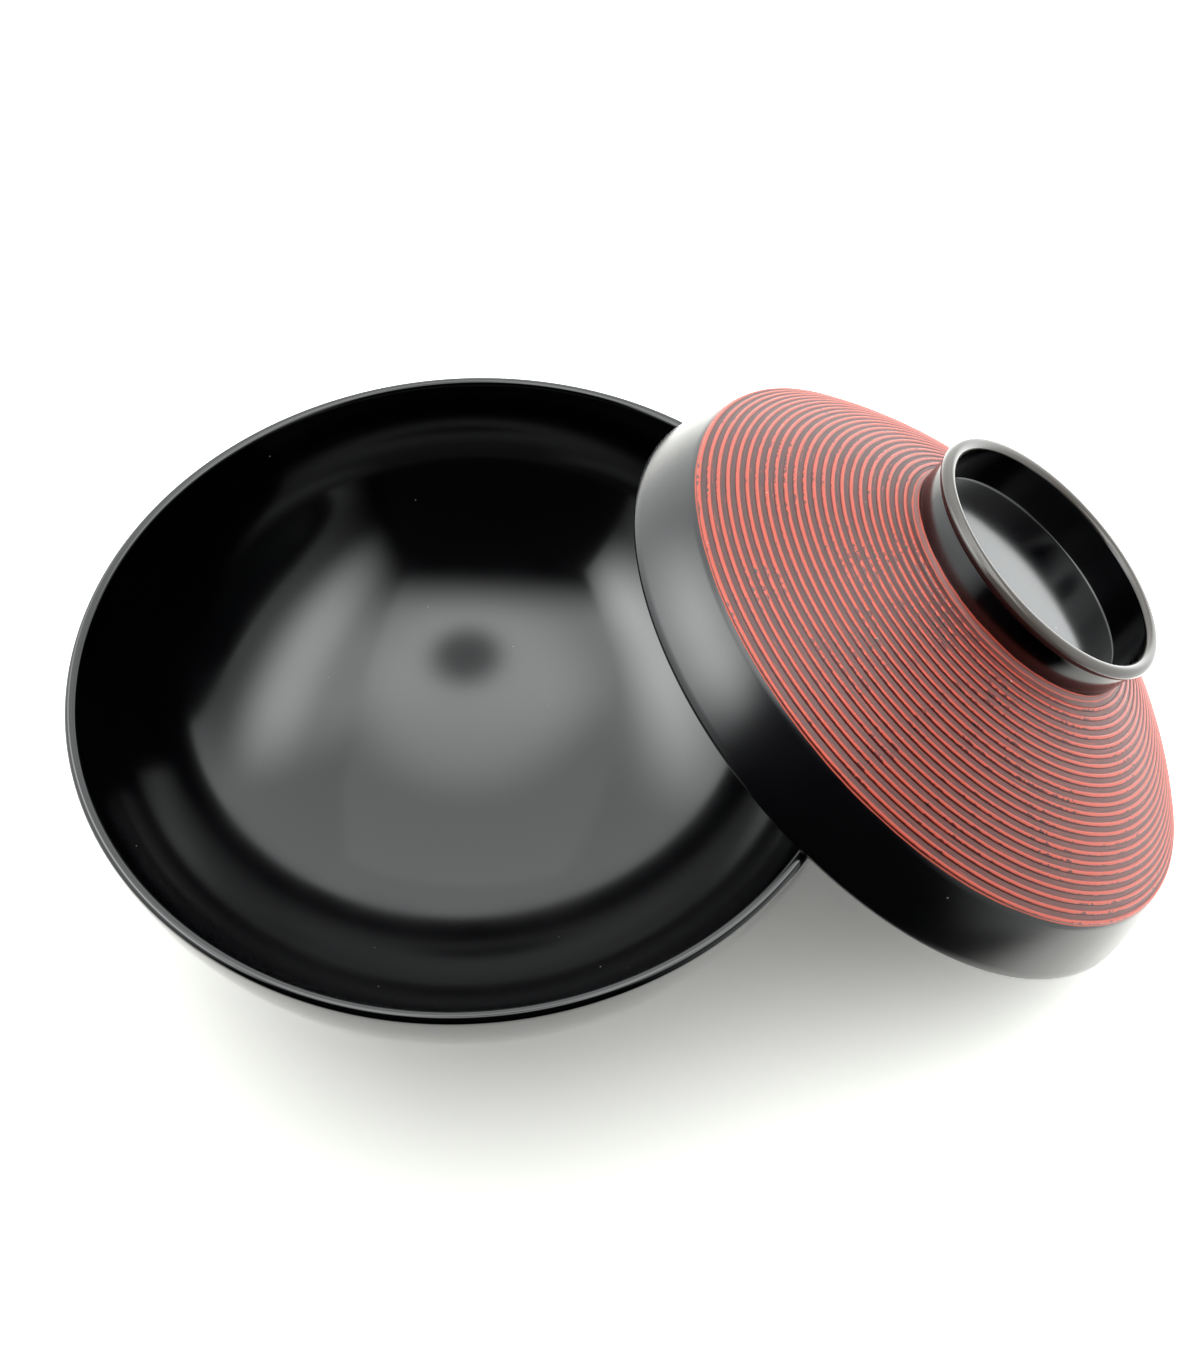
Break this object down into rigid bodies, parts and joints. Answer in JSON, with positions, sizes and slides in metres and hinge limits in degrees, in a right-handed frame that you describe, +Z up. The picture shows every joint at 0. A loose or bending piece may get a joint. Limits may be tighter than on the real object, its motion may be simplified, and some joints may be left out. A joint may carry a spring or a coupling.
{
  "type": "lidded soup bowl",
  "caption": "Lacquered bowl for soup or a simmered dish: round body on a foot ring, with a low domed lid that has raised rings and a ring knob, leaning open against the bowl's lip",
  "frame": {"origin": "centre of the bowl's foot ring, on the surface that the bowl and the lid's rim stand on", "axes": "+Z up, the lid leans towards +X, the XZ plane is the set's plane of symmetry"},
  "size_m": [0.2081, 0.14, 0.0848],
  "materials": {
    "black_lacquer": "turned wood under a polished black lacquer",
    "red_lacquer": "raised rings of the lid under a vermilion lacquer"
  },
  "bodies": {
    "bowl": {"bowl": "black_lacquer"},
    "lid": {"lid": "black_lacquer", "lid_ribs": "red_lacquer"}
  },
  "joints": [
    {"name": "lid_lift", "type": "slide", "parent": "bowl", "child": "lid", "axis": [0, 0, 1], "range_m": [0, 0.065]}
  ]
}
